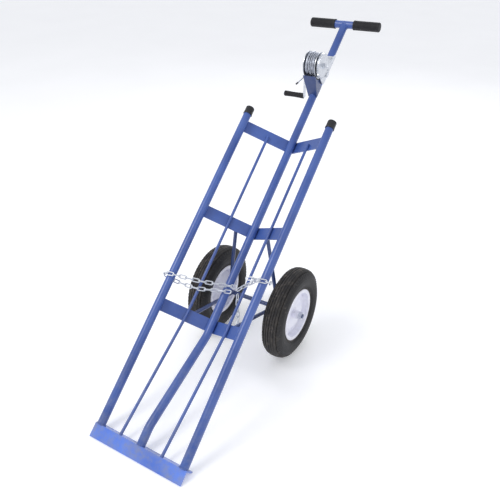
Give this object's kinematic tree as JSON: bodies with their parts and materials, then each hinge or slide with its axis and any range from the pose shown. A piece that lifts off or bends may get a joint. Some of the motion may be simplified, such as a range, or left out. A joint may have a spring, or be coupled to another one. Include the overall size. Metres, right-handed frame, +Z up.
{
  "type": "hand truck",
  "caption": "Two-wheel hand truck with a V-shaped tube bed, toe angle, T handle, crank rope winch with gears and pawl, pneumatic wheels on a strutted axle, and a load chain.",
  "frame": {"origin": "on the ground plane, midway between the toe's front edge and the back of the handle grips, in the symmetry plane; the axle lies almost above it", "axes": "+Z up, +Y from the toe towards the handle, +X across to the side away from the crank grip"},
  "size_m": [0.493, 1.667, 1.2757],
  "materials": {
    "blue_paint": "gloss powder coat",
    "black_rubber": "ribbed, matt",
    "black_plastic": "moulded, satin",
    "tyre_rubber": "ribbed tread, matt",
    "white_paint": "satin paint",
    "nylon": "natural",
    "zinc": "bright zinc plate",
    "wire_rope": "stranded galvanised wire"
  },
  "bodies": {
    "frame": {"left_rail": "blue_paint", "right_rail": "blue_paint", "left_rod": "blue_paint", "right_rod": "blue_paint", "lower_cross_member": "blue_paint", "middle_cross_member": "blue_paint", "upper_cross_member": "blue_paint", "centre_tube": "blue_paint", "toe_angle": "blue_paint", "handle_bar": "blue_paint", "left_upper_strut": "blue_paint", "left_lower_strut": "blue_paint", "right_upper_strut": "blue_paint", "right_lower_strut": "blue_paint", "axle": "blue_paint", "axle_collars": "blue_paint", "winch_stand": "blue_paint", "left_rail_cap": "black_rubber", "right_rail_cap": "black_rubber", "left_grip": "black_rubber", "right_grip": "black_rubber", "winch_shaft_bushes": "nylon", "axle_washers": "zinc", "axle_nuts": "zinc", "winch_bracket": "zinc", "winch_u_bolts": "zinc", "winch_u_bolt_nuts": "zinc", "pawl_pin": "zinc", "load_chain": "zinc"},
    "left_wheel": {"left_tyre": "tyre_rubber", "left_rim": "white_paint", "left_hub": "white_paint", "left_wheel_bushes": "nylon", "left_valve": "black_rubber"},
    "right_wheel": {"right_tyre": "tyre_rubber", "right_rim": "white_paint", "right_hub": "white_paint", "right_wheel_bushes": "nylon", "right_valve": "black_rubber"},
    "drum": {"winch_drum": "zinc", "winch_rope": "wire_rope", "rope_ferrule": "wire_rope", "drum_shaft": "zinc", "drum_shaft_nuts": "zinc", "main_gear": "zinc"},
    "crank": {"crank_shaft": "zinc", "pinion": "zinc", "ratchet_wheel": "zinc", "crank_arm": "zinc", "crank_nut": "zinc", "crank_pin": "zinc"},
    "grip": {"crank_grip": "black_plastic"},
    "pawl": {"pawl": "zinc", "pawl_lever": "zinc", "pawl_lever_tip": "black_plastic"},
    "tail": {"chain_tail": "zinc"}
  },
  "joints": [
    {"name": "left_wheel_spin", "type": "hinge", "parent": "frame", "child": "left_wheel", "pos_m": [0, -0.00139, 0.2], "axis": [1, 0, 0], "continuous": true},
    {"name": "right_wheel_spin", "type": "hinge", "parent": "frame", "child": "right_wheel", "pos_m": [0, -0.00139, 0.2], "axis": [1, 0, 0], "continuous": true},
    {"name": "drum_spin", "type": "hinge", "parent": "frame", "child": "drum", "pos_m": [0, 0.50614, 1.12478], "axis": [1, 0, 0], "continuous": true},
    {"name": "crank_spin", "type": "hinge", "parent": "frame", "child": "crank", "pos_m": [0, 0.55633, 1.08347], "axis": [1, 0, 0], "continuous": true},
    {"name": "grip_spin", "type": "hinge", "parent": "crank", "child": "grip", "pos_m": [0, 0.55633, 0.97047], "axis": [1, 0, 0], "continuous": true},
    {"name": "pawl_tilt", "type": "hinge", "parent": "frame", "child": "pawl", "pos_m": [0, 0.5206, 1.07912], "axis": [1, 0, 0], "range_deg": [0, 25]},
    {"name": "chain_swing", "type": "hinge", "parent": "frame", "child": "tail", "pos_m": [0.064, -0.23066, 0.38433], "axis": [1, 0, 0], "range_deg": [-25, 25]}
  ],
  "couplings": [
    {"joint": "crank_spin", "follows": "drum_spin", "ratio": -3.3333}
  ]
}
